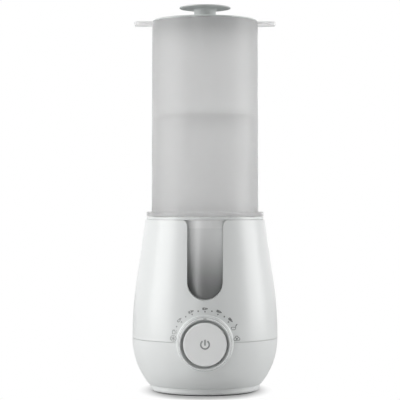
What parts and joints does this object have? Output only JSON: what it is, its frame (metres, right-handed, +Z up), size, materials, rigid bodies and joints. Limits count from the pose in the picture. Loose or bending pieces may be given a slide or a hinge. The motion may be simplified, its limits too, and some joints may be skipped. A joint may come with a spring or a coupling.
{
  "type": "bottle warmer sterilizer",
  "caption": "Bottle warmer with a flared white base, a dial round a push button and a viewing slot, under a frosted lift-off steam tube with a tray, a lid and a knob.",
  "frame": {"origin": "centre of the rubber pad's underside, on the floor and on the base's axis", "axes": "+Z up along the base's axis, the dial faces -Y, +X to the right seen from the front"},
  "size_m": [0.1304, 0.1418, 0.3449],
  "materials": {
    "housing_white": "smooth moulded ABS",
    "trim_white": "polished moulded ABS",
    "button_grey": "fine satin texture",
    "frame_grey": "plain moulding",
    "lid_grey": "fine satin texture",
    "tray_grey": "fine satin texture",
    "frosted_grey": "frosted translucent polypropylene",
    "smoke_clear": "smoke tinted, see-through",
    "rubber_grey": "matt",
    "silicone_red": "silicone rubber",
    "plate_steel": "brushed stainless",
    "steel": "zinc plated",
    "element_aluminium": "plain drawn tube",
    "can_aluminium": "sleeved can",
    "sensor_brass": "turned",
    "phenolic_tan": "phenolic moulding",
    "gear_natural": "natural acetal",
    "switch_black": "nylon moulding",
    "board_green": "solder mask",
    "relay_blue": "moulded case",
    "coil_yellow": "taped winding",
    "block_green": "nylon moulding"
  },
  "bodies": {
    "base": {"bottom_cover": "housing_white", "base_pad": "rubber_grey", "cover_screws": "steel", "lower_housing": "housing_white", "upper_housing": "housing_white", "housing_screws": "steel", "cord_bushing": "rubber_grey", "chamber_cup": "smoke_clear", "rim_ring": "trim_white", "heater_gasket": "silicone_red", "heater_plate": "plate_steel", "heater_clamp": "plate_steel", "heater_screws": "steel", "heating_element": "element_aluminium", "temperature_sensor": "sensor_brass", "thermal_cutout": "phenolic_tan", "heater_leads": "silicone_red", "dial_bezel": "trim_white", "bezel_screws": "steel", "button_carrier": "frame_grey", "tact_switch": "switch_black", "control_board": "board_green", "control_screws": "steel", "encoder_body": "switch_black", "power_board": "board_green", "board_screws": "steel", "power_relay": "relay_blue", "filter_capacitor": "can_aluminium", "power_transformer": "coil_yellow", "terminal_block": "block_green"},
    "dial": {"dial_ring": "trim_white", "dial_gear": "gear_natural"},
    "pinion": {"encoder_pinion": "gear_natural"},
    "button": {"power_button": "button_grey", "switch_plunger": "switch_black"},
    "tube": {"sterilizer_tube": "frosted_grey"},
    "tray": {"parts_tray": "tray_grey"},
    "lid": {"lid": "lid_grey", "lid_knob": "lid_grey", "knob_screw": "steel"}
  },
  "joints": [
    {"name": "dial_turn", "type": "hinge", "parent": "base", "child": "dial", "pos_m": [0, -0.06, 0.0475], "axis": [0, 1, 0], "range_deg": [-82, 82]},
    {"name": "pinion_turn", "type": "hinge", "parent": "base", "child": "pinion", "pos_m": [0, -0.048, 0.0214], "axis": [0, 1, 0], "range_deg": [-184, 184]},
    {"name": "button_press", "type": "slide", "parent": "base", "child": "button", "axis": [0, 1, 0], "range_m": [0, 0.0008], "stiffness_N_per_m": 3000},
    {"name": "tube_lift", "type": "slide", "parent": "base", "child": "tube", "axis": [0, 0, 1], "range_m": [0, 0.1]},
    {"name": "tray_lift", "type": "slide", "parent": "tube", "child": "tray", "axis": [0, 0, 1], "range_m": [0, 0.15]},
    {"name": "lid_lift", "type": "slide", "parent": "tray", "child": "lid", "axis": [0, 0, 1], "range_m": [0, 0.08]}
  ],
  "couplings": [
    {"joint": "pinion_turn", "follows": "dial_turn", "ratio": -2.2222}
  ]
}
